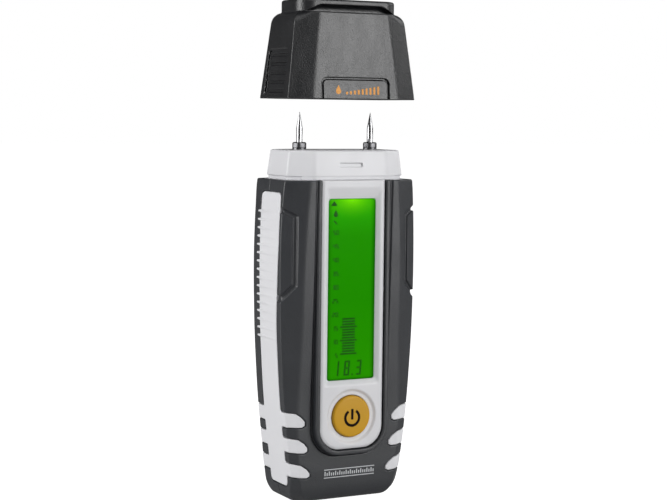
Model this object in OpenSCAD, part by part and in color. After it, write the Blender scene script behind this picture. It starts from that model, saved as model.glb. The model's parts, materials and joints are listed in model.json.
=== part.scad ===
// Two-pin moisture meter with a lift-off protective cap.
// Millimetres. +Z runs up the meter, the display faces -Y, and the origin is at the centre of the base.

/* [Body] */
// Height from the base to the shoulder that the cap sits on
body_h = 117.8; // [112:0.1:124]
// Width across the shoulder
shoulder_w = 52; // [50:0.5:54]
// Width across the belly
belly_w = 55.1; // [54:0.1:58]
// Depth of the whole body, front to back
body_d = 32.8; // [32:0.1:35]
// Thickness of the black jacket
jacket_t = 2; // [1.8:0.1:2.2]
// Thickness of the white inner housing
housing_t = 1.6; // [1.2:0.1:1.8]

/* [Display and button] */
// Width of the white bezel
bezel_w = 25.6; // [24:0.1:26]
// Distance of the bezel's face from the middle plane
bezel_y = 15.5; // [15:0.1:16]
// Width of the display window
window_w = 19.4; // [18:0.1:20]
// Lower edge of the display window
window_z0 = 44.9; // [44:0.1:46]
// Upper edge of the display window
window_z1 = 111.1; // [108:0.1:112]
// Diameter of the power button
button_d = 15.2; // [14:0.1:16]
// Height of the button's centre
button_z = 31.5; // [31:0.1:32]
// How far the button travels
button_travel = 0.6; // [0.4:0.1:0.8]

/* [Electrodes] */
// Height of the electrode head above the shoulder
head_h = 10.7; // [9:0.1:12]
// Distance between the two needles
pin_spacing = 29.3; // [28:0.1:30]
// Diameter of a needle
pin_d = 2.3; // [2:0.1:2.5]
// Length of a needle above the head
pin_len = 13.7; // [12:0.1:14]

/* [Cap] */
// Height of the cap without its crown
cap_h = 31; // [30:0.1:33]
// Height of the crown on top of the cap
crown_h = 4.6; // [4:0.1:5]
// How far the cap is lifted above its seat
cap_lift = 29; // [25:0.5:40]
// Wall thickness of the cap
cap_t = 1.2; // [1:0.1:1.3]

/* [Power] */
// Diameter of an AAA cell
cell_d = 10.5; // [10:0.1:10.5]
// Length of an AAA cell with its button
cell_len = 44.5; // [44:0.1:44.5]
// Length of the battery cover
cover_len = 56; // [54:0.5:58]

/* [Hidden] */

$fn = 48;
eps = 0.05;
far = 60;
half_d = body_d / 2;
pin_x = pin_spacing / 2;

// Stations of the body, from base to shoulder. Each is a stretched octagon:
// [height, half width, front depth, rear depth, half width of the front facet, half depth of the side facet]
body_stations = [
    [0, 17.5, 9.2, 11.2, 14.2, 7],
    [1, 19.2, 10.4, 12.8, 15.8, 8.4],
    [3.5, 21.3, 12.2, 14.6, 18.2, 9.8],
    [9, belly_w / 2 - 5.15, 13.2, 15.8, 19.8, 11.1],
    [18, belly_w / 2 - 4.05, 13.4, half_d, 20.6, 11.6],
    [36, belly_w / 2 - 2.05, 13.5, half_d, 20.9, 11.6],
    [50, belly_w / 2 - 1.05, 14, half_d, 20.3, 11.6],
    [60, belly_w / 2 - 0.5, 14.4, half_d, 19.9, 11.6],
    [73, belly_w / 2 - 0.1, 15, half_d, 19.9, 11.6],
    [93, belly_w / 2, 15.7, half_d, 19.5, 11.6],
    [108, belly_w / 2 - 0.55, 16.1, half_d, 18.7, 11.7],
    [body_h, shoulder_w / 2, half_d, half_d, 17.9, 11.8]
];

// Stations of the cap, measured up from its rim
cap_stations = [
    [0, 26, 16.2, 16.2, 17.4, 11.5],
    [cap_h - 3.8, 22.6, 14.2, 14.2, 14.5, 9.3],
    [cap_h - 1.8, 21.9, 13.8, 13.8, 14.2, 9],
    [cap_h - 0.6, 21, 13.2, 13.2, 13.6, 8.5],
    [cap_h, 20.2, 12.6, 12.6, 13.1, 8]
];

// Stations of the crown, measured up from the top of the cap
crown_stations = [
    [-0.6, 19.8, 11.6, 9.2, 15.6, 6.4],
    [crown_h - 1, 20, 11.8, 9.4, 15.8, 6.6],
    [crown_h - 0.3, 19.6, 11.4, 9, 15.5, 6.3],
    [crown_h, 18.8, 10.6, 8.2, 15, 5.8]
];

head_z = body_h + head_h;
neck_h = 1.3;
head_taper = 1.2;

// Moves every side of a station inwards by t
function inset_station(s, t) =
    let (dx = s[1] - s[4],
         dyf = s[2] - s[5],
         dyr = s[3] - s[5],
         lf = norm([dx, dyf]),
         lr = norm([dx, dyr]))
    [s[0], s[1] - t, s[2] - t, s[3] - t,
     s[4] - t * (lf - dx) / dyf, s[5] - t * (lf - dyf) / dx,
     s[4] - t * (lr - dx) / dyr, s[5] - t * (lr - dyr) / dx];

// The eight corners of an inset station, anticlockwise from above
function ring(s) =
    [[-s[4], -s[2], s[0]], [s[4], -s[2], s[0]], [s[1], -s[5], s[0]], [s[1], s[7], s[0]],
     [s[6], s[3], s[0]], [-s[6], s[3], s[0]], [-s[1], s[7], s[0]], [-s[1], -s[5], s[0]]];

// The station at height z, straight between the two stations next to it
function station_at(stations, z) =
    let (last = len(stations) - 2,
         below = [for (i = [0:last]) if (z >= stations[i][0]) i],
         i = len(below) > 0 ? max(below) : 0,
         t = (z - stations[i][0]) / (stations[i + 1][0] - stations[i][0]))
    stations[i] + t * (stations[i + 1] - stations[i]);

// The stations between two heights, with one added at each height
function clip_stations(stations, z0, z1) =
    concat([station_at(stations, z0)],
           [for (s = stations) if (s[0] > z0 && s[0] < z1) s],
           [station_at(stations, z1)]);

// Half width of the body at height z
function side_x(z) = station_at(body_stations, z)[1];

// A solid through rings of eight corners each
module loft(rings) {
    n = len(rings[0]);
    m = len(rings);
    walls = [for (r = [0:m - 2], k = [0:n - 1], half = [0, 1])
        let (a = r * n + k, b = r * n + (k + 1) % n)
        half == 0 ? [a, a + n, b] : [b, a + n, b + n]];
    bottom = [[for (k = [0:n - 1]) k]];
    top = [[for (k = [n - 1:-1:0]) (m - 1) * n + k]];
    polyhedron(points = [for (r = rings) each r], faces = concat(bottom, walls, top));
}

// The body's outer form, inset by t, between two heights
module body_form(t, z0, z1) {
    loft([for (s = clip_stations(body_stations, z0, z1)) ring(inset_station(s, t))]);
}

// A block that spans the body in X and lies between two Y and two Z values
module slab(y0, y1, z0, z1) {
    translate([-far, y0, z0])
        cube([2 * far, y1 - y0, z1 - z0]);
}

// Extrudes a front view, drawn in X and Z, between two Y values
module front_view(y0, y1) {
    translate([0, y1, 0])
        rotate([90, 0, 0])
            linear_extrude(y1 - y0)
                children();
}

// Extrudes a side view, drawn in Y and Z, between two X values
module side_view(x0, x1) {
    translate([x0, 0, 0])
        rotate([90, 0, 90])
            linear_extrude(x1 - x0)
                children();
}

// A cylinder along +Y
module y_cylinder(r, y0, y1, x, z) {
    translate([x, y0, z])
        rotate([-90, 0, 0])
            cylinder(r = r, h = y1 - y0);
}

// A rectangle given by its corners
module box_2d(x0, x1, z0, z1) {
    translate([x0, z0])
        square([x1 - x0, z1 - z0]);
}

// ---- Bezel outline ----

bezel_z0 = 19.6;
bezel_r = 8;
bezel_wall = 1.8;
rim_w = 2;
rim_y = bezel_y + 0.8;

// The bezel's front view, grown by g: square at the shoulder and round at the foot
module bezel_outline(g) {
    r = bezel_r + g;
    w = bezel_w / 2 + g;
    z0 = bezel_z0 - g;
    for (side = [-1, 1])
        translate([side * (w - r), z0 + r])
            circle(r = r);
    box_2d(-w + r, w - r, z0, z0 + 2 * r);
    box_2d(-w, w, z0 + r, body_h);
}

// ---- Side grips ----

grip_t = 1.2;
grip_front = 8;
grip_front_top = 9.8;
grip_taper_z = [66, 95];
grip_rear = 6;
grip_z0 = 6;
grip_z1 = 113.4;
grip_corner = 2.2;
side_edge = 12;
rib_count = 16;
rib_pitch = 3.05;
rib_z0 = 57.8;
rib_h = 1.7;
rib_y = [-6.8, 5.6];
rib_proud = 0.45;

// Claws: [top of root, bottom of root, half width at the tip, top of tip, bottom of tip]
claws = [
    [34.3, 28.7, 17.8, 31, 28.2],
    [25.4, 19.7, 16.7, 21.4, 18.7],
    [16.4, 10.9, 15.6, 11.9, 9.4]
];
claw_shoulder = 2.2;
claw_nose = 1.2;

// The strip and the claws' roots, seen from the side
module grip_side_outline() {
    polygon([
        [-grip_front, grip_z0], [grip_rear, grip_z0],
        [grip_rear, grip_z1 - grip_corner], [grip_rear - grip_corner, grip_z1],
        [-grip_front_top + grip_corner, grip_z1], [-grip_front_top, grip_z1 - grip_corner],
        [-grip_front_top, grip_taper_z[1]], [-grip_front, grip_taper_z[0]]
    ]);
    for (c = claws)
        box_2d(-side_edge, side_edge, c[1], c[0]);
}

// The claws' fingers, seen from the front, on the +X side
module claw_front_outline() {
    for (c = claws)
        polygon([
            [far / 2, c[0]],
            [c[2] + claw_shoulder, c[3] + claw_shoulder],
            [c[2], c[3]],
            [c[2], c[4] + claw_nose / 2],
            [c[2] + claw_nose, c[4]],
            [far / 2, c[1]]
        ]);
}

// The space that the grip on the +X side fills, down to depth t below the jacket's face
module grip_space(t) {
    difference() {
        union() {
            side_view(10, far / 2) grip_side_outline();
            for (front = [0, 1])
                mirror([0, front, 0])
                    front_view(side_edge - 0.6, far / 2) claw_front_outline();
        }
        body_form(t, 0, body_h);
    }
}

// A grip: that space within the body's outer form, with shingle ribs on it
module grip() {
    intersection() {
        grip_space(grip_t);
        body_form(0, 0, body_h);
    }
    for (i = [0:rib_count - 1]) {
        z = rib_z0 + i * rib_pitch;
        translate([side_x(z) - 0.8, rib_y[0], z])
            cube([0.8 + rib_proud, rib_y[1] - rib_y[0], rib_h]);
    }
}

module left_grip() {
    color("whitesmoke") mirror([1, 0, 0]) grip();
}

module right_grip() {
    color("whitesmoke") grip();
}

// ---- Jackets ----

screw_x = 15.8;
screw_zs = [22, 104];
screw_hole_r = 2.6;
cover_w = 24.4;
cover_t = 2;
cover_z0 = 8.4;
cover_gap = 0.3;

// The jacket all round, without the openings in its front and back
module jacket_shell() {
    difference() {
        body_form(0, 0, body_h);
        body_form(jacket_t, jacket_t, body_h + eps);
        for (side = [0, 1])
            mirror([side, 0, 0]) grip_space(grip_t + eps);
    }
}

module front_jacket() {
    color("#2f3133") difference() {
        union() {
            jacket_shell();
            front_view(-rim_y, -10.5) bezel_outline(rim_w);
        }
        slab(0, far, -1, body_h + 1);
        front_view(-far, 0) bezel_outline(eps);
        body_form(jacket_t, jacket_t, body_h + eps);
    }
}

module rear_jacket() {
    color("#2f3133") difference() {
        jacket_shell();
        slab(-far, eps, -1, body_h + 1);
        front_view(5, far)
            box_2d(-cover_w / 2 - cover_gap, cover_w / 2 + cover_gap,
                   cover_z0 - cover_gap, cover_z0 + cover_len + cover_gap);
        for (side = [-1, 1], z = screw_zs)
            y_cylinder(screw_hole_r, 8, far, side * screw_x, z);
    }
}

// ---- Housings ----

deck_t = 1.6;
boss_r = 2.6;
pilot_r = 1.15;
bezel_box_t = 1.2;
recess_w = 22.4;
recess_z0 = 43.1;
recess_z1 = 115;
recess_depth = 1.2;
deck_w = 45.2;
deck_d = 22;
deck_corner = 5;
bay_w = 23.4;
bay_z0 = 11;
bay_z1 = 61;
bay_y = 2.2;
bay_t = 1.2;

// The opening in the deck that the electrode head's plug drops into
module plug_outline(g) {
    w = deck_w / 2 - 4 + g;
    d = deck_d / 2 - 4 + g;
    c = deck_corner + g * 0.4;
    polygon([[-w + c, -d], [w - c, -d], [w, -d + c], [w, d - c],
             [w - c, d], [-w + c, d], [-w, d - c], [-w, -d + c]]);
}

// The inner shell all round, with its deck at the shoulder
module housing_shell() {
    t0 = jacket_t + eps;
    difference() {
        body_form(t0, t0, body_h);
        body_form(t0 + housing_t, t0 + housing_t, body_h - deck_t);
        translate([0, 0, body_h - deck_t - 1])
            linear_extrude(deck_t + 2) plug_outline(eps);
    }
}

// Depth of the inner shell's inside, at the front, at height z
function inner_front(z) = station_at(body_stations, z)[2] - jacket_t - housing_t;

module front_housing() {
    color("white") difference() {
        union() {
            difference() {
                union() {
                    housing_shell();
                    front_view(-bezel_y, -9) bezel_outline(0);
                }
                front_view(-bezel_y + bezel_wall, 0) intersection() {
                    bezel_outline(-bezel_box_t);
                    box_2d(-far, far, 0, body_h - deck_t);
                }
            }
            for (side = [-1, 1], z = screw_zs)
                y_cylinder(boss_r, -inner_front(z) - 0.6, -eps, side * screw_x, z);
        }
        slab(-eps, far, -1, body_h + 1);
        front_view(-far, -bezel_y + recess_depth)
            box_2d(-recess_w / 2, recess_w / 2, recess_z0, recess_z1);
        front_view(-far, -bezel_y + bezel_wall + 1)
            box_2d(-window_w / 2, window_w / 2, window_z0, window_z1);
        y_cylinder(button_d / 2 + 0.25, -far, -bezel_y + bezel_wall + 1, 0, button_z);
        for (side = [-1, 1], z = screw_zs)
            y_cylinder(pilot_r, -8, 1, side * screw_x, z);
    }
}

module rear_housing() {
    seat_y = half_d - jacket_t - eps;
    color("white") difference() {
        union() {
            difference() {
                union() {
                    housing_shell();
                    front_view(bay_y - bay_t, seat_y)
                        box_2d(-bay_w / 2 - bay_t, bay_w / 2 + bay_t, bay_z0 - bay_t, bay_z1 + bay_t);
                }
                front_view(bay_y, far)
                    box_2d(-bay_w / 2, bay_w / 2, bay_z0, bay_z1);
            }
            for (side = [-1, 1], z = screw_zs)
                y_cylinder(boss_r, eps, seat_y - 0.5, side * screw_x, z);
        }
        slab(-far, eps, -1, body_h + 1);
        for (side = [-1, 1], z = screw_zs) {
            y_cylinder(screw_hole_r - 0.3, 10, far, side * screw_x, z);
            y_cylinder(pilot_r, -1, 11, side * screw_x, z);
        }
    }
}

// ---- Electrode head and needles ----

head_bore_r = 1.8;
terminal_r = 2.8;
terminal_z0 = 109.2;
terminal_z1 = 121.4;
shank_r = 1.45;
shank_z0 = 113;
nut_h = 2.7;
nut_af = 5.2;
cone_len = 4.8;
slot_w = 9.4;
slot_z0 = 122.5;
slot_h = 1.35;
slot_depth = 0.65;
core_w = 18;
core_d = 16;
core_h = 8;
head_w = 47.8;
head_d = 26.8;

// The head's octagon at height z, inset by t
function head_ring(z, t) =
    ring(inset_station([z, head_w / 2, head_d / 2, head_d / 2, 15.2, 8.5], t));

module electrode_head() {
    color("white") difference() {
        union() {
            loft([head_ring(body_h, 0.5), head_ring(body_h + neck_h, 0.5)]);
            loft([head_ring(body_h + neck_h, 0), head_ring(head_z, head_taper)]);
            translate([0, 0, body_h - deck_t - 1])
                linear_extrude(deck_t + 1.1) plug_outline(-0.1);
            for (side = [-1, 1])
                translate([side * pin_x, 0, terminal_z0 + 0.8])
                    cylinder(r = terminal_r + 1.2, h = body_h - terminal_z0);
        }
        for (side = [-1, 1])
            translate([side * pin_x, 0, 0]) {
                translate([0, 0, terminal_z0])
                    cylinder(r = terminal_r + eps, h = terminal_z1 - terminal_z0 + eps);
                cylinder(r = head_bore_r, h = head_z + 1);
                translate([0, 0, head_z - 0.4])
                    cylinder(r = nut_af / 2 + 1.1, h = 1);
            }
        translate([-slot_w / 2, -head_d / 2 - 1, slot_z0])
            cube([slot_w, 1 + slot_depth, slot_h]);
        translate([-core_w / 2, -core_d / 2, body_h - deck_t - 2])
            cube([core_w, core_d, core_h]);
    }
}

// A needle with its threaded shank
module pin_at(x) {
    top = head_z + pin_len;
    translate([x, 0, 0])
        rotate_extrude()
            polygon([
                [0, shank_z0], [shank_r, shank_z0], [shank_r, head_z + 0.5],
                [pin_d / 2, head_z + 0.5], [pin_d / 2, top - cone_len],
                [0.06, top], [0, top]
            ]);
}

// A hex collar that clamps a needle on the head
module nut_at(x) {
    translate([x, 0, head_z - 0.4])
        difference() {
            cylinder(d = nut_af / cos(30), h = nut_h + 0.4, $fn = 6);
            translate([0, 0, -1])
                cylinder(r = shank_r + eps, h = nut_h + 3, $fn = 48);
        }
}

// A brass insert with a blind thread and a solder tail
module terminal_at(x) {
    translate([x, 0, 0])
        difference() {
            union() {
                translate([0, 0, terminal_z0])
                    cylinder(r = terminal_r, h = terminal_z1 - terminal_z0);
                translate([0, 0, terminal_z0 - 1.6])
                    cylinder(r = 1, h = 2);
            }
            translate([0, 0, shank_z0 - 0.5])
                cylinder(r = shank_r + eps, h = 20);
        }
}

module left_pin() { color("silver") pin_at(-pin_x); }
module right_pin() { color("silver") pin_at(pin_x); }
module left_pin_nut() { color("silver") nut_at(-pin_x); }
module right_pin_nut() { color("silver") nut_at(pin_x); }
module left_terminal() { color("goldenrod") terminal_at(-pin_x); }
module right_terminal() { color("goldenrod") terminal_at(pin_x); }

// ---- Display stack, from the front backwards ----

pane_y = bezel_y - recess_depth;
pane_flange_y = bezel_y - bezel_wall - eps;
pane_back_y = 12.9;
lcd_y = [12.85, 10.65];
guide_y = [10.6, 8.25];
board_y = [8.2, 6.6];
stack_half = 10.8;
lcd_z = [41.7, 113];
guide_z = [44.7, 113.3];
board_half = 13;
board_z = [14, 115.6];

// A block between -y_pair[0] and -y_pair[1], and between two heights
module stack_block(half, y_pair, z_pair) {
    translate([-half, -y_pair[0], z_pair[0]])
        cube([2 * half, y_pair[0] - y_pair[1], z_pair[1] - z_pair[0]]);
}

module display_window() {
    color("lightgreen", 0.4) {
        stack_block(window_w / 2 - eps, [pane_y, pane_flange_y - 0.1], [window_z0 + eps, window_z1 - eps]);
        stack_block(stack_half, [pane_flange_y, pane_back_y], [window_z0 - 1.1, window_z1 + 1.1]);
    }
}

module lcd_panel() {
    color("limegreen") stack_block(stack_half, lcd_y, lcd_z);
}

module light_guide() {
    color("palegreen") stack_block(stack_half, guide_y, guide_z);
}

module zebra_connector() {
    color("dimgray") stack_block(stack_half - 0.4, guide_y, [lcd_z[0] + 0.2, guide_z[0] - 0.2]);
}

module backlight_led() {
    color("lime") stack_block(1.75, [10.2, board_y[0]], [guide_z[1] + 0.1, guide_z[1] + 1.3]);
}

module circuit_board() {
    color("darkgreen") difference() {
        stack_block(board_half, board_y, board_z);
        for (side = [-1, 1])
            y_cylinder(1, -9, -6, side * (board_half - 2), 100);
    }
}

// ---- Parts on the board's back ----

module processor_chip() {
    body = 10;
    lead_pitch = 0.8;
    color("#202020") {
        translate([-2, -board_y[1] + 0.1, 84])
            cube([body, 1.4, body]);
        for (i = [-5:5], side = [-1, 1])
            translate([3 + i * lead_pitch - 0.15, -board_y[1], 89 + side * (body / 2 + 0.3) - 0.7])
                cube([0.3, 0.5, 1.4]);
    }
}

module buzzer() {
    color("#202020") difference() {
        y_cylinder(4.75, -board_y[1], -board_y[1] + 4.6, -7, 74);
        y_cylinder(0.9, -board_y[1] + 3.6, 0, -7, 74);
    }
}

module pin_contacts() {
    color("silver") for (side = [0, 1])
        mirror([side, 0, 0]) {
            difference() {
                translate([10.4, -board_y[1], terminal_z0 - 0.5])
                    cube([pin_x + 1.8 - 10.4, board_y[1] + 1.8, 0.4]);
                translate([pin_x, 0, terminal_z0 - 2])
                    cylinder(r = 1 + eps, h = 3);
            }
            translate([10.4, -board_y[1], terminal_z0 - 6])
                cube([2.2, 0.4, 6]);
        }
}

// ---- Switch and button ----

switch_size = 6;
switch_y = [board_y[0], 11];
plunger_r = 1.7;
plunger_in = 1;
button_y = bezel_y + 0.6;
flange_r = 9;
flange_y = bezel_y - bezel_wall - 0.2;
stem_y = 12.2;

module tact_switch() {
    color("#303030") difference() {
        translate([-switch_size / 2, -switch_y[1], button_z - switch_size / 2])
            cube([switch_size, switch_y[1] - switch_y[0], switch_size]);
        y_cylinder(plunger_r + 0.1, -switch_y[1] - 1, -switch_y[1] + plunger_in + button_travel + 0.2,
                   0, button_z);
    }
}

module switch_plunger() {
    color("#d0d0d0") y_cylinder(plunger_r, -stem_y, -switch_y[1] + plunger_in, 0, button_z);
}

module button_cap() {
    edge = 0.8;
    color("#be9426") difference() {
        translate([0, 0, button_z])
            rotate([90, 0, 0])
                rotate_extrude()
                    polygon([
                        [0, stem_y], [2.2, stem_y], [2.2, flange_y - 0.8], [flange_r, flange_y - 0.8],
                        [flange_r, flange_y], [button_d / 2, flange_y],
                        [button_d / 2, button_y - edge], [button_d / 2 - edge, button_y], [0, button_y]
                    ]);
        symbol_form(0.25, 0.3);
    }
}

// The standby sign: an open ring and a bar, from depth d below the button's face to h above it
module symbol_form(d, h) {
    ring_r = 3.35;
    line = 1;
    gap = 64;
    drop = 0.4;
    bar_w = 1;
    bar_z = [-0.7, 3.3];
    translate([0, -button_y + d, button_z - drop])
        rotate([90, 0, 0]) {
            rotate([0, 0, 90 + gap / 2])
                rotate_extrude(angle = 360 - gap)
                    translate([ring_r - line, 0])
                        square([line, d + h]);
            translate([-bar_w / 2, bar_z[0], 0])
                cube([bar_w, bar_z[1] - bar_z[0], d + h]);
        }
}

module button_symbol() {
    color("#241d10") symbol_form(0.2, 0.05);
}

// ---- Power ----

cell_x = 5.8;
cell_y = bay_y + 0.3 + cell_d / 2;
plate_t = 0.4;
nub_r = 1.9;
nub_h = 0.9;
spring_len = bay_z1 - bay_z0 - 2 * plate_t - cell_len;

// A cell standing on its flat end
module cell() {
    rotate_extrude()
        polygon([
            [0, 0], [cell_d / 2 - 0.4, 0], [cell_d / 2, 0.4], [cell_d / 2, cell_len - nub_h - 0.4],
            [cell_d / 2 - 0.4, cell_len - nub_h], [nub_r, cell_len - nub_h], [nub_r, cell_len],
            [0, cell_len]
        ]);
}

module left_cell() {
    color("steelblue") translate([-cell_x, cell_y, bay_z0 + plate_t + spring_len]) cell();
}

module right_cell() {
    color("steelblue") translate([cell_x, cell_y, bay_z1 - plate_t - spring_len])
        mirror([0, 0, 1]) cell();
}

// A tapered coil spring, standing on its wide end
module coil_spring(r0, r1, h, turns, wire_r) {
    steps = 12;
    sides = 6;
    count = turns * steps;
    rings = [for (i = [0:count])
        let (u = i / count, a = 360 * turns * u, r = r0 + (r1 - r0) * u)
        [for (k = [0:sides - 1])
            let (b = -360 * k / sides, d = r + wire_r * cos(b))
            [d * cos(a), d * sin(a), wire_r + (h - 2 * wire_r) * u + wire_r * sin(b)]]];
    loft(rings);
}

module battery_springs() {
    color("silver") {
        translate([-cell_x, cell_y, bay_z0 + plate_t])
            coil_spring(4, 2.6, spring_len, 3.5, 0.35);
        translate([cell_x, cell_y, bay_z1 - plate_t])
            mirror([0, 0, 1]) coil_spring(4, 2.6, spring_len, 3.5, 0.35);
    }
}

// Contact plates: one links the cells at the top, and two leave at the bottom
module battery_plates() {
    half = 4.6;
    color("silver") {
        translate([-cell_x - half, cell_y - half, bay_z1 - plate_t])
            cube([2 * (cell_x + half), 2 * half, plate_t]);
        for (side = [-1, 1])
            translate([side * cell_x - half, cell_y - half, bay_z0])
                cube([2 * half, 2 * half, plate_t]);
    }
}

// Pan-head screws from the back, two high and two low
module housing_screws() {
    head_y = 10;
    color("silver") for (side = [-1, 1], z = screw_zs)
        translate([side * screw_x, 0, z])
            rotate([-90, 0, 0])
                difference() {
                    rotate_extrude()
                        polygon([
                            [0, -7], [0.4, -7], [1.1, -5.5], [1.1, head_y + eps],
                            [2.2, head_y + eps], [2.2, head_y + 1], [1.5, head_y + 1.6], [0, head_y + 1.6]
                        ]);
                    for (turn = [0, 90])
                        rotate([0, 0, turn])
                            translate([-1.1, -0.2, head_y + 0.7])
                                cube([2.2, 0.4, 2]);
                }
}

// The lid in the back, with finger grooves near its latch
module battery_cover() {
    groove_pitch = 2.2;
    color("#2f3133") difference() {
        translate([-cover_w / 2, half_d - cover_t, cover_z0])
            cube([cover_w, cover_t, cover_len]);
        for (i = [0:4])
            translate([-5, half_d - 0.5, cover_z0 + cover_len - 6 - i * groove_pitch])
                cube([10, 1, 0.9]);
    }
}

// ---- Cap ----

cap_z = body_h + 0.1 + cap_lift;
roof_t = 1.8;
rib_bar_half = 4;
rib_bar_z1 = 9;
rib_bar_y = head_d / 2 + 0.25;

module cap_shell() {
    outer = [for (s = cap_stations) ring(inset_station(s, 0))];
    inner = [for (s = clip_stations(cap_stations, -0.05, cap_h - roof_t)) ring(inset_station(s, cap_t))];
    color("#3a3c3f") translate([0, 0, cap_z]) {
        difference() {
            loft(outer);
            loft(inner);
        }
        loft([for (s = crown_stations) ring(inset_station(s + [cap_h, 0, 0, 0, 0, 0], 0))]);
        for (front = [0, 1])
            mirror([0, front, 0])
                translate([-rib_bar_half, rib_bar_y, 1])
                    cube([2 * rib_bar_half, 15 - rib_bar_y, rib_bar_z1 - 1]);
    }
}

front_jacket();
rear_jacket();
front_housing();
rear_housing();
left_grip();
right_grip();
electrode_head();
left_pin();
right_pin();
left_pin_nut();
right_pin_nut();
left_terminal();
right_terminal();
pin_contacts();
display_window();
lcd_panel();
light_guide();
backlight_led();
zebra_connector();
circuit_board();
processor_chip();
buzzer();
tact_switch();
switch_plunger();
button_cap();
button_symbol();
left_cell();
right_cell();
battery_springs();
battery_plates();
housing_screws();
battery_cover();
cap_shell();
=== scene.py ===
"""Looks of the two-pin moisture meter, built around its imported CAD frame.

Forms are worked out in millimetres. Each moulded piece is a signed field, negative inside, and its mesh is
the zero surface of that field, so that rounded edges, ribs, grooves and gaps are all real geometry.
"""

import json
import math

import bpy
import numpy as np
from mathutils import Matrix, Vector


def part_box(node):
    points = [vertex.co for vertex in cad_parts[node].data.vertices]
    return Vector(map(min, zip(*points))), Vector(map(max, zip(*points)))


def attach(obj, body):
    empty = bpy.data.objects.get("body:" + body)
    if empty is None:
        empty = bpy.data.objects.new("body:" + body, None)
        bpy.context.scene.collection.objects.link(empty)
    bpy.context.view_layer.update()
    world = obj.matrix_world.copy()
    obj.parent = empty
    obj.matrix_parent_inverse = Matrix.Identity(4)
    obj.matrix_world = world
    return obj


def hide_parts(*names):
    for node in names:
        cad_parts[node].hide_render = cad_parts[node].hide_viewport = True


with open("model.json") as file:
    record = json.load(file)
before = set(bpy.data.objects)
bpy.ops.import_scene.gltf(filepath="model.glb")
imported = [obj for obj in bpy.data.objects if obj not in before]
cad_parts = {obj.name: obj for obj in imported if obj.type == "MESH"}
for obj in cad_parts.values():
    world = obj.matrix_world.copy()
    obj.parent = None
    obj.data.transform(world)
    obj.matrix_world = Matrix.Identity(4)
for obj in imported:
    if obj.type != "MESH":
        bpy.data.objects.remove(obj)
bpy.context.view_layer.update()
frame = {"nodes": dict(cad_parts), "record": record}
nodes = frame["nodes"]

MM = 0.001


def box_mm(node):
    """The lowest and highest corners of a CAD node, in millimetres."""
    low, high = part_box(node)
    return np.array(low) / MM, np.array(high) / MM


# ---------------------------------------------------------------- camera

def add_camera():
    """The view that the meter is shown from: 28 degrees from its left, a little above its middle."""
    forward = Vector((0.46106, 0.88341, -0.08368)).normalized()
    level = Vector((0.88652, -0.46268, 0.0)).normalized()
    upright = level.cross(forward).normalized()
    roll = math.radians(0.645)
    right = math.cos(roll) * level + math.sin(roll) * upright
    up = math.cos(roll) * upright - math.sin(roll) * level
    camera = bpy.data.objects.new("camera", bpy.data.cameras.new("camera"))
    bpy.context.scene.collection.objects.link(camera)
    camera.data.sensor_width = 36
    camera.data.lens = 87.98
    camera.data.clip_start = 0.01
    place = Matrix((right, up, -forward)).transposed().to_4x4()
    place.translation = Vector((-0.2787, -0.5338, 0.14185))
    camera.matrix_world = place
    bpy.context.scene.camera = camera


# ---------------------------------------------------------------- fields

def smax(a, b, k):
    """The larger of two fields, with the corner between them rounded over k."""
    return np.maximum(a, b) + np.maximum(k - np.abs(a - b), 0) ** 2 / (4 * k)


def smin(a, b, k):
    """The smaller of two fields, with a fillet of k between them."""
    return np.minimum(a, b) - np.maximum(k - np.abs(a - b), 0) ** 2 / (4 * k)


def smooth_curve(places, values):
    """A function that runs smoothly through values at places, by cubic pieces."""
    z = np.array(places, float)
    v = np.array(values, float)
    slope = np.gradient(v, z)
    fine = np.linspace(z[0], z[-1], 800)
    i = np.clip(np.searchsorted(z, fine) - 1, 0, len(z) - 2)
    span = z[i + 1] - z[i]
    t = (fine - z[i]) / span
    curve = ((2 * t**3 - 3 * t**2 + 1) * v[i] + (t**3 - 2 * t**2 + t) * span * slope[i]
             + (3 * t**2 - 2 * t**3) * v[i + 1] + (t**3 - t**2) * span * slope[i + 1])
    return lambda at: np.interp(at, fine, curve).astype(np.float32)


def section_curves(stations):
    """Smooth curves for the sizes of a stretched octagon, from its stations."""
    columns = list(zip(*stations))
    return [smooth_curve(columns[0], column) for column in columns[1:]]


def octagon(x, y, sizes, k):
    """Field of a stretched octagon: half width, front and rear depth, half front facet, and how far its
    side facet reaches to the front and to the rear."""
    w, front, rear, fx, side_front, side_rear = sizes
    ax = np.abs(x)
    d = smax(smax(-y - front, y - rear, k), ax - w, k)
    for depth, reach, v in ((front, side_front, -y), (rear, side_rear, y)):
        ex, ey = depth - reach, w - fx
        d = smax(d, ((ax - fx) * ex + (v - depth) * ey) / np.hypot(ex, ey), k)
    return d


def rounded_box(u, v, half_u, v0, v1, r):
    """Plane field of a rectangle about u = 0 and from v0 to v1, with corners of radius r."""
    qu = np.abs(u) - half_u + r
    qv = np.abs(v - (v0 + v1) / 2) - (v1 - v0) / 2 + r
    return np.hypot(np.maximum(qu, 0), np.maximum(qv, 0)) + np.minimum(np.maximum(qu, qv), 0) - r


def line_field(u, v, points):
    """Plane distance from an open line through points."""
    best = None
    for (u0, v0), (u1, v1) in zip(points, points[1:]):
        du, dv = u1 - u0, v1 - v0
        t = np.clip(((u - u0) * du + (v - v0) * dv) / (du * du + dv * dv), 0, 1)
        d = np.hypot(u - u0 - du * t, v - v0 - dv * t)
        best = d if best is None else np.minimum(best, d)
    return best


def polygon_field(u, v, points):
    """Plane field of a closed outline through points."""
    inside = np.zeros(np.broadcast(u, v).shape, bool)
    for (u0, v0), (u1, v1) in zip(points, points[1:] + points[:1]):
        if v0 != v1:
            within = (min(v0, v1) <= v) & (v < max(v0, v1))
            inside ^= within & (u < u0 + (v - v0) * (u1 - u0) / (v1 - v0))
    return np.where(inside, -1, 1) * line_field(u, v, points + points[:1])


# ---------------------------------------------------------------- meshes

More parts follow.
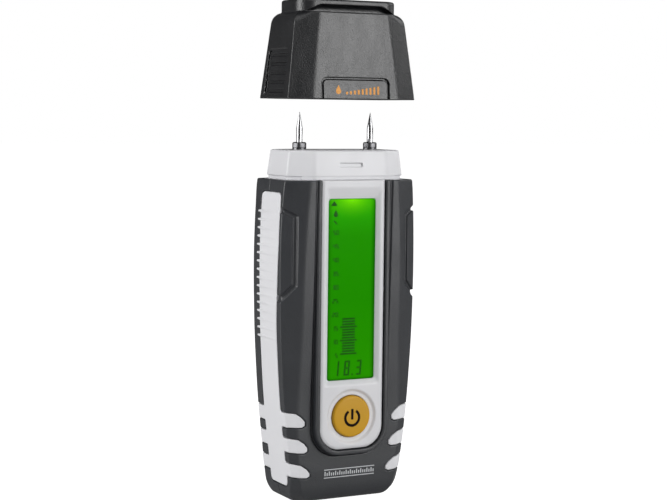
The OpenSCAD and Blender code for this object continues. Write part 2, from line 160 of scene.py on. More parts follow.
def grid_net(form, low, high, step):
    """Vertices and quads around the zero surface of form within a box."""
    axes = [np.arange(a, b + step, step).astype(np.float32) for a, b in zip(low, high)]
    shape = tuple(len(a) for a in axes)
    field = np.ascontiguousarray(np.broadcast_to(form(*np.ix_(*axes)), shape), dtype=np.float32)
    inside = field < 0
    corners = [(i, j, k) for i in (0, 1) for j in (0, 1) for k in (0, 1)]

    def corner(array, c):
        return array[tuple(slice(o, n - 1 + o) for o, n in zip(c, shape))]

    count = sum(corner(inside, c).astype(np.int8) for c in corners)
    cells = np.argwhere((count > 0) & (count < 8))
    number = np.full([n - 1 for n in shape], -1, np.int32)
    number[tuple(cells.T)] = np.arange(len(cells))

    total = np.zeros((len(cells), 3))
    hits = np.zeros(len(cells))
    for c in corners:
        for axis in range(3):
            if c[axis]:
                continue
            a = field[tuple((cells + c).T)]
            other = np.array(c)
            other[axis] = 1
            b = field[tuple((cells + other).T)]
            cross = (a < 0) != (b < 0)
            place = np.tile(np.array(c, float), (len(cells), 1))
            place[:, axis] = np.where(cross, a / np.where(cross, a - b, 1), 0)
            total += place * cross[:, None]
            hits += cross
    vertices = (cells + total / hits[:, None]) * step + np.array([a[0] for a in axes])

    quads = []
    for axis in range(3):
        one, two = [i for i in range(3) if i != axis]
        cut = [slice(1, -1)] * 3
        cut[axis] = slice(0, -1)
        nxt = list(cut)
        nxt[axis] = slice(1, None)
        here, there = inside[tuple(cut)], inside[tuple(nxt)]
        edges = np.argwhere(here != there)
        leaving = here[tuple(edges.T)]
        edges[:, one] += 1
        edges[:, two] += 1
        ring = []
        for back_one, back_two in ((1, 1), (0, 1), (0, 0), (1, 0)):
            cell = edges.copy()
            cell[:, one] -= back_one
            cell[:, two] -= back_two
            ring.append(number[tuple(cell.T)])
        quad = np.stack(ring, 1)
        turned = leaving if axis != 1 else ~leaving
        quad[~turned] = quad[~turned][:, ::-1]
        quads.append(quad)
    return vertices, np.concatenate(quads)


def slope_of(form, points):
    """The field's value and gradient at points."""
    reach = 0.03
    p = points.astype(np.float32)
    value = form(p[:, 0], p[:, 1], p[:, 2])
    gradient = np.zeros_like(p)
    for axis in range(3):
        step = np.zeros(3, np.float32)
        step[axis] = reach
        ahead, behind = p + step, p - step
        gradient[:, axis] = (form(*ahead.T) - form(*behind.T)) / (2 * reach)
    return value, gradient


def settle(form, points, reach):
    """Moves points onto the zero surface, none further than reach, and gives the surface's normals there."""
    value, gradient = slope_of(form, points)
    size = np.maximum((gradient**2).sum(1), 0.2)
    move = -gradient * (value / size)[:, None]
    length = np.linalg.norm(move, axis=1)
    move *= np.minimum(1, reach / np.maximum(length, 1e-9))[:, None]
    points = points + move
    gradient = slope_of(form, points)[1]
    normals = gradient / np.maximum(np.linalg.norm(gradient, axis=1), 1e-6)[:, None]
    return points, normals


def link(name, mesh, material):
    """A new object for a mesh, with its material."""
    obj = bpy.data.objects.new(name, mesh)
    bpy.context.scene.collection.objects.link(obj)
    mesh.materials.append(material)
    return obj


def raw_mesh(name, vertices, faces):
    """A mesh from millimetre vertices and lists of corners."""
    mesh = bpy.data.meshes.new(name)
    mesh.from_pydata((np.asarray(vertices) * MM).tolist(), [], faces)
    mesh.update()
    return mesh


def moulded(name, form, low, high, step, material, keep):
    """The piece whose surface is the zero surface of form, thinned to a share of its triangles."""
    vertices, quads = grid_net(form, low, high, step)
    vertices, _ = settle(form, vertices, 0.5 * step)
    full = raw_mesh(name, vertices, quads.tolist())
    obj = link(name, full, material)
    thin = obj.modifiers.new("thin", "DECIMATE")
    thin.ratio = keep
    graph = bpy.context.evaluated_depsgraph_get()
    mesh = bpy.data.meshes.new_from_object(obj.evaluated_get(graph))
    obj.modifiers.clear()
    obj.data = mesh
    bpy.data.meshes.remove(full)
    mesh.name = name
    co = np.zeros(len(mesh.vertices) * 3, np.float32)
    mesh.vertices.foreach_get("co", co)
    settled, normals = settle(form, co.reshape(-1, 3) / MM, 0.3 * step)
    mesh.vertices.foreach_set("co", (settled * MM).astype(np.float32).ravel())
    mesh.polygons.foreach_set("use_smooth", [True] * len(mesh.polygons))
    mesh.update()
    mesh.normals_split_custom_set_from_vertices(normals.tolist())
    return obj


def lathe(name, profile, centre, axis, material, around=64):
    """A turned piece: profile is (radius, height) from the bottom centre to the top centre, along axis."""
    vertices, faces, rings = [], [], []
    for radius, height in profile:
        if radius < 1e-6:
            rings.append([len(vertices)])
            vertices.append((0, 0, height))
            continue
        rings.append(list(range(len(vertices), len(vertices) + around)))
        for i in range(around):
            a = 2 * math.pi * i / around
            vertices.append((radius * math.cos(a), radius * math.sin(a), height))
    for low, high in zip(rings, rings[1:]):
        for i in range(around):
            j = (i + 1) % around
            if len(low) == 1:
                faces.append((low[0], high[j], high[i]))
            elif len(high) == 1:
                faces.append((low[i], low[j], high[0]))
            else:
                faces.append((low[i], low[j], high[j], high[i]))
    points = np.array(vertices, float)
    if axis == "-y":
        points = np.stack([points[:, 0], -points[:, 2], points[:, 1]], 1)
    mesh = raw_mesh(name, points + np.array(centre, float), faces)
    mesh.polygons.foreach_set("use_smooth", [True] * len(mesh.polygons))
    obj = link(name, mesh, material)
    mesh.set_sharp_from_angle(angle=math.radians(35))
    return obj


def place_piece(obj, body, slot, *replaced):
    """Says what body a piece rides on and the CAD nodes it stands for; its material slot is not used."""
    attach(obj, body)
    if replaced:
        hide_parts(*replaced)


# ---------------------------------------------------------------- materials

def srgb(r, g, b):
    """Linear colour from eight-bit display values."""
    def linear(v):
        v = v / 255
        return v / 12.92 if v <= 0.04045 else ((v + 0.055) / 1.055) ** 2.4
    return (linear(r), linear(g), linear(b), 1.0)


class Surface:
    """A Principled material whose textures use the object's own coordinates."""

    def __init__(self, name):
        self.material = bpy.data.materials.new(name)
        self.material.use_nodes = True
        self.tree = self.material.node_tree
        self.shader = next(n for n in self.tree.nodes if n.type == "BSDF_PRINCIPLED")
        self.coords = self.node("ShaderNodeTexCoord").outputs["Object"]

    def node(self, kind, **values):
        made = self.tree.nodes.new(kind)
        for key, value in values.items():
            setattr(made, key, value)
        return made

    def wire(self, a, b):
        self.tree.links.new(a, b)

    def noise(self, size_mm, detail, stretch=(1, 1, 1)):
        """A noise whose features are about size_mm across."""
        mapping = self.node("ShaderNodeMapping")
        mapping.inputs["Scale"].default_value = tuple(s / (size_mm * MM) for s in stretch)
        self.wire(self.coords, mapping.inputs["Vector"])
        texture = self.node("ShaderNodeTexNoise")
        texture.inputs["Scale"].default_value = 1.0
        texture.inputs["Detail"].default_value = detail
        self.wire(mapping.outputs[0], texture.inputs["Vector"])
        return texture.outputs["Fac"]

    def spread(self, value, low, high, start=0.3, end=0.7):
        """A value mapped from start..end to low..high."""
        made = self.node("ShaderNodeMapRange")
        made.inputs["From Min"].default_value = start
        made.inputs["From Max"].default_value = end
        made.inputs["To Min"].default_value = low
        made.inputs["To Max"].default_value = high
        self.wire(value, made.inputs["Value"])
        return made.outputs["Result"]

    def tint(self, value, first, second):
        """A colour between two, by value."""
        ramp = self.node("ShaderNodeValToRGB")
        ramp.color_ramp.elements[0].position = 0.3
        ramp.color_ramp.elements[0].color = first
        ramp.color_ramp.elements[1].position = 0.7
        ramp.color_ramp.elements[1].color = second
        self.wire(value, ramp.inputs["Fac"])
        return ramp.outputs["Color"]

    def bump(self, value, depth_mm):
        """A bump of the given depth."""
        made = self.node("ShaderNodeBump")
        made.inputs["Strength"].default_value = 1.0
        made.inputs["Distance"].default_value = depth_mm * MM
        self.wire(value, made.inputs["Height"])
        return made.outputs["Normal"]

    def set(self, **values):
        """Sets the shader's own sockets; an underscore stands for a space in a socket's name."""
        for key, value in values.items():
            self.shader.inputs[key.replace("_", " ")].default_value = value


def shade(colour, factor):
    """A colour made lighter or darker."""
    return tuple(min(1, c * factor) for c in colour[:3]) + (1.0,)


def plastic(name, colour, rough, grain_mm=0.35, grain_depth=0.02, vary=0.06, specular=0.5):
    """Moulded plastic with spark-eroded grain, a slow change of tone and rubbed patches."""
    s = Surface(name)
    slow = s.noise(14, 2)
    fine = s.noise(grain_mm, 2)
    rubbed = s.noise(5, 4, (1, 1, 0.4))
    s.wire(s.tint(slow, shade(colour, 1 - vary), shade(colour, 1 + vary)), s.shader.inputs["Base Color"])
    s.wire(s.spread(rubbed, rough - 0.05, rough + 0.05), s.shader.inputs["Roughness"])
    s.wire(s.bump(fine, grain_depth), s.shader.inputs["Normal"])
    s.set(Specular_IOR_Level=specular)
    return s.material


def metal(name, colour, rough, brush=(1, 1, 12), depth=0.004):
    """Metal with fine brushing along one direction and a varying polish."""
    s = Surface(name)
    lines = s.noise(0.5, 3, brush)
    slow = s.noise(3, 3)
    s.wire(s.tint(slow, shade(colour, 0.88), shade(colour, 1.05)), s.shader.inputs["Base Color"])
    s.wire(s.spread(lines, rough - 0.06, rough + 0.08), s.shader.inputs["Roughness"])
    s.wire(s.bump(lines, depth), s.shader.inputs["Normal"])
    s.set(Metallic=1.0)
    return s.material


def lit_display(name, low, high):
    """The lit face of the display: green, brightest near the lamp at its top middle, with painted shade dimming
    its edges in place of the shadow from the window's recess.
    """
    lamp_reach = 0.0155
    s = Surface(name)
    split = s.node("ShaderNodeSeparateXYZ")
    s.wire(s.coords, split.inputs[0])
    height = s.spread(split.outputs["Z"], 0.0, 1.0, low[2] * MM, high[2] * MM)
    lamp = s.node("ShaderNodeVectorMath", operation="SUBTRACT")
    lamp.inputs[1].default_value = (0.0007, low[1] * MM, (high[2] - 2.0) * MM)
    s.wire(s.coords, lamp.inputs[0])
    squash = s.node("ShaderNodeVectorMath", operation="MULTIPLY")
    squash.inputs[1].default_value = (1.0, 1.0, 1.7)
    s.wire(lamp.outputs[0], squash.inputs[0])
    length = s.node("ShaderNodeVectorMath", operation="LENGTH")
    s.wire(squash.outputs[0], length.inputs[0])
    near = s.node("ShaderNodeMath", operation="POWER")
    near.inputs[1].default_value = 2.6
    s.wire(s.spread(length.outputs["Value"], 1.0, 0.0, 0.0, lamp_reach), near.inputs[0])
    base = s.node("ShaderNodeValToRGB")
    stops = base.color_ramp.elements
    stops[0].position = 0.0
    stops[0].color = srgb(40, 146, 1)
    stops[1].position = 1.0
    stops[1].color = srgb(42, 180, 2)
    for position, colour in ((0.45, srgb(31, 139, 1)), (0.78, srgb(31, 144, 1)), (0.92, srgb(38, 166, 2))):
        stops.new(position).color = colour
    s.wire(height, base.inputs["Fac"])
    mix = s.node("ShaderNodeMix", data_type="RGBA")  # its sockets 6 and 7 are the two colours, 2 the result
    s.wire(near.outputs[0], mix.inputs["Factor"])
    s.wire(base.outputs["Color"], mix.inputs[6])
    mix.inputs[7].default_value = srgb(128, 244, 6)
    s.wire(mix.outputs[2], s.shader.inputs["Emission Color"])
    light = None
    # Where each edge is, and how far inward the painted shade of the recess reaches
    for axis, edge, width in (("X", -8.9, 1.3), ("X", 10.3, -1.6), ("Z", 44.8, 0.9), ("Z", 111.1, -0.6)):
        painted_edge_shade = s.spread(split.outputs[axis], 0.4, 1.0, edge * MM, (edge + width) * MM)
        if light is None:
            light = painted_edge_shade
            continue
        product = s.node("ShaderNodeMath", operation="MULTIPLY")
        s.wire(light, product.inputs[0])
        s.wire(painted_edge_shade, product.inputs[1])
        light = product.outputs[0]
    # Painted shade: the display's light is dimmed towards each edge of the window
    s.wire(light, s.shader.inputs["Emission Strength"])
    s.set(Base_Color=(0.0, 0.01, 0.0, 1.0), Roughness=0.5, Specular_IOR_Level=0.0)
    s.wire(s.bump(s.noise(0.25, 1), 0.003), s.shader.inputs["Normal"])
    return s.material


def clear_pane(name):
    """The thin clear window over the display, with a faint unevenness in its gloss."""
    s = Surface(name)
    s.set(Base_Color=(0.01, 0.05, 0.0, 1.0), Alpha=0.03, Specular_IOR_Level=0.12)
    s.wire(s.spread(s.noise(6, 2), 0.08, 0.16), s.shader.inputs["Roughness"])
    return s.material


def glowing(name, colour, strength):
    """Lit plastic with slightly uneven light."""
    s = Surface(name)
    s.wire(s.tint(s.noise(4, 2), shade(colour, 0.9), shade(colour, 1.1)), s.shader.inputs["Emission Color"])
    s.set(Base_Color=shade(colour, 0.1), Emission_Strength=strength, Roughness=0.4, Specular_IOR_Level=0.1)
    return s.material


# Plastics have their colour, roughness, grain size and depth, change of tone and specular level
MATERIALS = {
    "armour": plastic("armour", srgb(41, 43, 47), 0.42, 0.45, 0.07, 0.06, 0.7),
    "housing": plastic("housing", srgb(224, 224, 227), 0.38, 0.5, 0.006, 0.012),
    "grip": plastic("grip", srgb(228, 228, 231), 0.5, 0.4, 0.012, 0.012),
    "cap": plastic("cap", srgb(17, 18, 21), 0.33, 0.42, 0.105, 0.06, 0.8),
    "button": plastic("button", srgb(203, 152, 22), 0.42, 0.4, 0.006, 0.03, 0.35),
    "symbol": plastic("symbol", srgb(18, 8, 3), 0.6, 0.4, 0.004, 0.06, 0.1),
    "needle_steel": metal("needle_steel", srgb(188, 188, 190), 0.2, (1, 1, 0.1), 0.0008),
    "collar_steel": metal("collar_steel", srgb(96, 96, 98), 0.27, (1, 1, 0.3), 0.001),
    "contact_steel": metal("contact_steel", srgb(190, 190, 190), 0.3),
    "brass": metal("brass", srgb(214, 180, 100), 0.3),
    "pane": clear_pane("pane"),
    "light_guide": glowing("light_guide", srgb(70, 200, 30), 0.3),
    "led": glowing("led", srgb(130, 240, 80), 2.0),
    "elastomer": plastic("elastomer", srgb(60, 60, 63), 0.7, 0.3, 0.01),
    "board": plastic("board", srgb(14, 84, 40), 0.35, 0.8, 0.01, 0.12),
    "component": plastic("component", srgb(28, 28, 29), 0.55, 0.2, 0.01),
    "switch_stem": plastic("switch_stem", srgb(200, 200, 196), 0.5),
    "cell": metal("cell", srgb(60, 110, 160), 0.35, (1, 1, 0.3)),
    "screw_steel": metal("screw_steel", srgb(120, 121, 125), 0.38, (6, 6, 1), 0.006),
    "print_pale": plastic("print_pale", srgb(205, 207, 210), 0.5, 0.2, 0.003),
    "print_orange": plastic("print_orange", srgb(226, 150, 38), 0.45, 0.2, 0.003),
    "segment": glowing("segment", srgb(12, 78, 1), 0.85),
}
low_lcd, high_lcd = box_mm("lcd_panel")
MATERIALS["display"] = lit_display("display", low_lcd, high_lcd)


# ---------------------------------------------------------------- the body's form

BODY_H = box_mm("front_jacket")[1][2]
HALF_D = box_mm("rear_jacket")[1][1]
BELLY = box_mm("front_jacket")[1][0]

# Height, half width, front depth, rear depth, half front facet, reach of the side facet to front and rear
BODY = section_curves([
    (-1, 19.2, 10.6, 13.0, 15.6, 6.8, 8.6),
    (0, 19.8, 11.1, 13.5, 16.3, 7.2, 9.0),
    (3.5, BELLY - 5.95, 12.5, 14.9, 18.4, 8.9, 10.4),
    (9, BELLY - 5.2, 13.2, 15.9, 19.8, 10.9, 11.4),
    (18, BELLY - 4.05, 13.4, HALF_D, 20.6, 11.6, 11.1),
    (36, BELLY - 2.05, 13.5, HALF_D, 20.9, 11.6, 11.1),
    (50, BELLY - 1.05, 14.0, HALF_D, 20.3, 11.6, 11.1),
    (60, BELLY - 0.5, 14.4, HALF_D, 19.9, 11.6, 11.1),
    (73, BELLY - 0.1, 15.0, HALF_D, 19.9, 11.6, 11.1),
    (93, BELLY, 15.7, HALF_D, 19.5, 11.6, 11.1),
    (108, BELLY - 0.55, 16.1, HALF_D, 18.7, 11.8, 11.1),
    (BODY_H, BELLY - 1.4, HALF_D, HALF_D, 17.9, 12.1, 11.5),
    (BODY_H + 2, BELLY - 1.75, HALF_D, HALF_D, 17.8, 12.1, 11.5),
])
JACKET_T = 2.0
GRIP_T = 1.2
GAP = 0.12  # between a grip and its channel
OVERLAP = 0.02  # of each half past the parting plane, so that no light comes through

BEZEL_HALF = 12.8
BEZEL_Z0 = 19.6
BEZEL_R = 8.0
BEZEL_Y = 15.5
RIM_GAP = 0.4
RIM_W = 2.0
RIM_Y = 16.3

GRIP_FRONT_Z = (66, 80, 95)
GRIP_FRONT = (8.0, 9.0, 9.9)
GRIP_REAR = 6.1
GRIP_Z = (5.8, 113.4)
RIB_Z0 = 57.8
RIB_PITCH = 3.05
RIB_COUNT = 16
RIB_PROUD = 0.4
RIB_CREST = 2.5
TOOTH_PROUD = 0.45

# Top and bottom of the root, half width at the tip, top and bottom of the tip
CLAWS = ((34.3, 28.7, 17.8, 31.0, 28.2), (25.4, 19.7, 16.7, 21.4, 18.7), (16.4, 10.9, 15.6, 11.9, 9.4))
CLAW_ROOT = 31
PAD_LINE = [(31, 108.6), (27.4, 107.4), (22.7, 104.8), (22.8, 80.2), (27.4, 75.2), (31, 74)]

BACK_Y = 8  # the back's cut-outs are all behind this
SCREWS = [(side * 15.8, z) for side in (-1, 1) for z in (22, 104)]
SCREW_HOLE_R = 2.6
LABEL_HALF = 13.5
LABEL_Z = (70, 98)
LABEL_DEEP = 0.35
COVER_HALF = 12.2
COVER_Z = (8.4, 64.4)
COVER_T = 2
COVER_GAP = 0.25


def body_outer(x, y, z):
    """Field of the body's outer form. Its foot is rounder in front than at the sides."""
    sizes = [curve(z) for curve in BODY]
    to_front = np.clip((-y - 5) / 4, 0, 1)
    return smax(octagon(x, y, sizes, 0.4), -z, 1.6 + 1.4 * to_front)


def bezel_outline(x, z):
    """Plane field of the bezel: open at the shoulder, round at the foot."""
    qx = np.abs(x) - BEZEL_HALF + BEZEL_R
    qz = BEZEL_Z0 + BEZEL_R - z
    return np.hypot(np.maximum(qx, 0), np.maximum(qz, 0)) + np.minimum(np.maximum(qx, qz), 0) - BEZEL_R


def claw_outline(x, z):
    """Plane field of the three claws, seen from the front."""
    best = None
    for top, bottom, tip, tip_top, tip_bottom in CLAWS:
        points = [(CLAW_ROOT, top + 0.4), (tip + 3.6, tip_top + 2.6), (tip + 1.3, tip_top + 1.0),
                  (tip, tip_top - 0.6), (tip, tip_bottom + 0.7), (tip + 1.3, tip_bottom), (CLAW_ROOT, bottom)]
        d = polygon_field(np.abs(x), z, points)
        best = d if best is None else np.minimum(best, d)
    return best


def grip_outline(x, y, z):
    """Field of the space behind a grip's outline, without its depth. The strip is wider towards its top."""
    front = np.interp(z, GRIP_FRONT_Z, GRIP_FRONT).astype(np.float32)
    strip = rounded_box(y - (GRIP_REAR - front) / 2, z, (GRIP_REAR + front) / 2, GRIP_Z[0], GRIP_Z[1], 2.2)
    return smin(strip, claw_outline(x, z), 0.8)


def grooved(outer, line, radius):
    """outer with a round groove along a line on its surface."""
    return smax(outer, radius - np.hypot(line, outer), 0.35)


def jacket(skin, x, y, z, outer):
    """The jacket all round, with the channels for the grips."""
    channel = np.maximum(grip_outline(x, y, z) - GAP, -(outer + GRIP_T + 0.1))
    skin = smax(skin, -channel, 0.35)
    return smax(skin, z - BODY_H, 0.5)


def front_jacket_form(x, y, z):
    """The front half of the jacket, with a groove round each pad and a raised rim round the bezel."""
    outer = body_outer(x, y, z)
    outline = bezel_outline(x, z)
    skin = grooved(outer, line_field(np.abs(x), z, PAD_LINE), 0.85)
    skin = grooved(skin, outline - RIM_W - 0.3, 0.5)
    skin = jacket(skin, x, y, z, outer)
    collar = smax(smax(outline - RIM_W, -y - RIM_Y, 0.6), y + 9, 0.5)
    collar = smax(collar, z - BODY_H, 0.5)
    skin = smin(skin, collar, 0.3)
    skin = smax(skin, -(outline - RIM_GAP), 0.3)
    skin = smax(skin, y - OVERLAP, 0.4)
    return np.maximum(skin, -(outer + JACKET_T))


def rear_jacket_form(x, y, z):
    """The rear half of the jacket, open for the battery cover and the screws, with a recess for a label."""
    outer = body_outer(x, y, z)
    skin = jacket(outer, x, y, z, outer)
    opening = rounded_box(x, z, COVER_HALF + COVER_GAP, COVER_Z[0] - COVER_GAP, COVER_Z[1] + COVER_GAP, 1.6)
    skin = smax(skin, -np.maximum(opening, BACK_Y - y), 0.35)
    label = np.maximum(rounded_box(x, z, LABEL_HALF, LABEL_Z[0], LABEL_Z[1], 2.5), -(outer + LABEL_DEEP))
    skin = smax(skin, -np.maximum(label, BACK_Y - y), 0.25)
    for sx, sz in SCREWS:
        hole = np.maximum(np.hypot(x - sx, z - sz) - SCREW_HOLE_R, BACK_Y - y)
        skin = smax(skin, -hole, 0.5)
    skin = smax(skin, -OVERLAP - y, 0.4)
    return np.maximum(skin, -(outer + JACKET_T))


def rib_height(y, z):
    """Height of the shingle ribs above a grip: a long slope up to a short crest, higher towards the rear."""
    turn = (z - RIB_Z0) / RIB_PITCH
    t = turn - np.floor(turn)
    shape = np.where(t < 0.62, 0.12 * t / 0.62, np.where(t < 0.78, 0.12 + 0.88 * (t - 0.62) / 0.16,
                     np.where(t < 0.88, 1.0, (1 - t) / 0.12)))
    within = (turn > 0) & (turn < RIB_COUNT)
    rear = np.clip((y + 9) / 15, 0, 1)
    return RIB_PROUD * (0.2 + 0.9 * rear**2) * shape * within


def grip_form(x, y, z):
    """Both grips, with a tooth at the rear end of each rib; each piece is meshed on its own side."""
    outer = body_outer(x, y, z)
    outline = grip_outline(x, y, z)
    face = outer - rib_height(y, z)
    solid = np.maximum(smax(face, outline + GAP, 0.5), -(outer + GRIP_T))
    turn = np.clip(np.round((z - RIB_Z0 - RIB_CREST) / RIB_PITCH), 0, RIB_COUNT - 1)
    crest = RIB_Z0 + RIB_CREST + RIB_PITCH * turn
    tooth = smax(np.abs(y - GRIP_REAR) - 1.3, np.abs(z - crest) - 0.4, 0.4)
    tooth = smax(smax(tooth, outer - TOOTH_PROUD, 0.3), -outer - 0.3, 0.2)
    return smin(solid, tooth, 0.3)


# ---------------------------------------------------------------- housing, head and cap

HOUSING_T = 1.6
WINDOW_HALF = 9.7
WINDOW_Z = (44.9, 111.1)
PANE_Y = 14.3
BUTTON_Z = (box_mm("button_cap")[0][2] + box_mm("button_cap")[1][2]) / 2
BUTTON_R = 7.6
DISH_R = 9.3
DISH_DEEP = 0.8


def front_housing_form(x, y, z):
    """The front half of the housing: a thin shell with the bezel on it, open for display, button and head."""
    outer = body_outer(x, y, z)
    outline = bezel_outline(x, z)
    bezel = smax(outline, -y - BEZEL_Y, 0.4)
    bevel = (outline + 0.9) * 0.36 + (-y - BEZEL_Y) * 0.93
    bezel = np.maximum(smax(bezel, bevel, 0.1), np.maximum(z - BODY_H, y + 9))
    inner = outer + JACKET_T + 0.05
    shell = np.maximum(inner, np.minimum(-(inner + HOUSING_T), BODY_H - HOUSING_T - z))
    shell = np.maximum(shell, np.maximum(z - BODY_H, y + 0.05))
    plug = rounded_box(x, y, 18.6, -7.1, 7.1, 3)
    shell = np.maximum(shell, -np.maximum(plug, BODY_H - 3 - z))
    body = np.minimum(bezel, shell)
    hollow = np.maximum(np.maximum(outline + 1.2, -y - BEZEL_Y + 1.8), z - BODY_H + HOUSING_T)
    body = np.maximum(body, -hollow)
    rise = np.maximum(-y - PANE_Y, 0)
    side = (np.abs(x) - WINDOW_HALF - rise * 1.25) / 1.35
    foot = (WINDOW_Z[0] - rise * 1.5 - z) / 1.4
    head = (z - WINDOW_Z[1] - rise * 3.25) / 2.2
    recess = smax(smax(side, foot, 0.8), head, 0.8)
    body = smax(body, -recess, 0.3)
    from_button = np.hypot(x, z - BUTTON_Z)
    dish_y = BEZEL_Y - DISH_DEEP
    dish = smax((from_button - DISH_R - np.maximum(-y - dish_y, 0)) / 1.4, dish_y + y, 0.3)
    body = smax(body, -dish, 0.3)
    return smax(body, BUTTON_R + 0.22 - from_button, 0.2)


HEAD_Z = box_mm("electrode_head")[1][2]
PIN_X = (box_mm("right_pin")[0][0] + box_mm("right_pin")[1][0]) / 2
HEAD_HALF, HEAD_DEPTH = box_mm("electrode_head")[1][:2]
HEAD_TAPER = 1.2
NECK_H = 1.3
SLOT_HALF = 4.7
SLOT_Z = (BODY_H + 4.7, BODY_H + 6.05)
SLOT_DEEP = 0.7
SEAT_R = 3.75
SEAT_DEEP = 0.45
PIN_BORE_R = 1.55


def head_form(x, y, z):
    """The electrode head: a tapered octagon on a neck, with a slot in front and a seat for each collar."""
    rise = np.clip((z - BODY_H - NECK_H) / (HEAD_Z - BODY_H - NECK_H), 0, 1) * HEAD_TAPER
    reach = 8.5 - 0.45 * rise
    sizes = (HEAD_HALF - rise, HEAD_DEPTH - rise, HEAD_DEPTH - rise, 15.2 - 0.45 * rise, reach, reach)
    block = octagon(x, y, sizes, 0.7)
    neck = smax(block + 0.15 + 0.4 * (np.abs(x) > 19), z - BODY_H - 2, 0.2)
    block = smax(smax(block, z - HEAD_Z, 0.9), BODY_H + NECK_H - z, 0.4)
    solid = smax(smin(block, neck, 0.2), BODY_H + 0.02 - z, 0.2)
    slot = np.maximum(rounded_box(x, z, SLOT_HALF, SLOT_Z[0], SLOT_Z[1], 0.3), -(block + SLOT_DEEP))
    solid = smax(solid, -slot - 60 * (y > 0), 0.2)
    for side in (-1, 1):
        from_pin = np.hypot(x - side * PIN_X, y)
        solid = smax(solid, -np.maximum(from_pin - SEAT_R, HEAD_Z - SEAT_DEEP - z), 0.25)
        solid = np.maximum(solid, PIN_BORE_R - from_pin)
    return solid


CAP_Z = box_mm("cap_shell")[0][2]
CAP_TOP = CAP_Z + 31
CROWN_TOP = box_mm("cap_shell")[1][2]
CAP = section_curves([
    (CAP_Z - 1, 26.05, 16.25, 16.25, 17.3, 13.3, 10.3),
    (CAP_Z, 25.92, 16.18, 16.18, 17.2, 13.25, 10.25),
    (CAP_TOP + 1, 21.95, 13.85, 13.85, 13.7, 10.8, 8.1),
])
CAP_WALL = 1.5
CAP_ROOF = 1.8
CAP_SIDE_X = 12  # the recess, grooves and slot are all further out than this
PANEL_HALF = 13.4
PANEL_H = 7.3
PANEL_DEEP = 0.25
SIDE_PITCH = 3.24
SIDE_LAST = 4
CROWN_Y = -1.2
CROWN_HALF = (20.0, 10.6)


def cap_form(x, y, z):
    """The cap: an octagon shell with an undercut crown, a front panel and grooved sides."""
    wall = octagon(x, y, [curve(z) for curve in CAP], 0.25)
    panel = rounded_box(x, z, PANEL_HALF, CAP_Z - 6, CAP_Z + PANEL_H, 2.0)
    skin = smax(wall, -np.maximum(np.maximum(panel, -(wall + PANEL_DEEP)), y), 0.12)
    skin = smax(skin, -np.maximum(np.maximum(np.abs(panel) - 0.42, -(wall + PANEL_DEEP + 0.7)), y), 0.12)
    side = np.maximum(rounded_box(y + 0.8, z, 8.0, CAP_Z + 1.2, CAP_Z + 17.8, 1.2), -(wall + 0.3))
    side = np.maximum(side, CAP_SIDE_X - np.abs(x))
    skin = smax(skin, -side, 0.15)
    turn = (z - CAP_Z - 2.6) / SIDE_PITCH
    stripe = np.abs(turn - np.clip(np.round(turn), 0, SIDE_LAST)) * SIDE_PITCH - 0.5
    grooves = np.maximum(stripe, np.abs(y + 1.6) - 6.6)
    slot = rounded_box(y - 6.0, z, 1.1, CAP_Z + 2.0, CAP_Z + 17.2, 0.6)
    cuts = np.maximum(np.minimum(grooves, slot), -(wall + 0.9))
    skin = smax(skin, -np.maximum(cuts, CAP_SIDE_X - np.abs(x)), 0.15)
    to_side = np.clip((np.abs(x) - 15.5) / 6, 0, 1)
    skin = smax(skin, z - CAP_TOP, 0.6 + 3.5 * to_side**2 * (3 - 2 * to_side))
    rim = rounded_box(x, y, CROWN_HALF[0], CROWN_Y - CROWN_HALF[1], CROWN_Y + CROWN_HALF[1], 6)
    crown = np.maximum(smax(rim, z - CROWN_TOP, 1.1), CAP_TOP - 3 - z)
    to_end = np.clip((np.abs(x) - 11.5) / 7.5, 0, 1)
    lip = CAP_TOP + 2.5 * (1 - to_end**2 * (3 - 2 * to_end))
    undercut = smax(-(rim + 2.8), z - lip, 2.2)
    crown = smax(crown, -undercut, 0.5)
    skin = smin(skin, crown, 0.5)
    skin = smax(skin, CAP_Z - z, 0.3)
    hollow = np.maximum(wall + CAP_WALL, z - CAP_TOP + CAP_ROOF)
    return smax(skin, -hollow, 0.3)


def cover_form(x, y, z):
    """The battery cover, flush with the back, with five finger grooves."""
    pitch = 2.2
    outer = body_outer(x, y, z)
    plate = smax(rounded_box(x, z, COVER_HALF, COVER_Z[0], COVER_Z[1], 1.4), outer, 0.5)
    plate = smax(plate, np.maximum(HALF_D - COVER_T - y, -(outer + 3)), 0.3)
    turn = (z - 50) / pitch
    stripe = np.abs(turn - np.clip(np.round(turn), 0, 4)) * pitch
    bars = smax(stripe - 0.5, np.abs(x) - 5 + 0.35 * stripe, 0.3)
    return smax(plate, -np.maximum(bars, -(outer + 0.5)), 0.2)


# ---------------------------------------------------------------- pieces

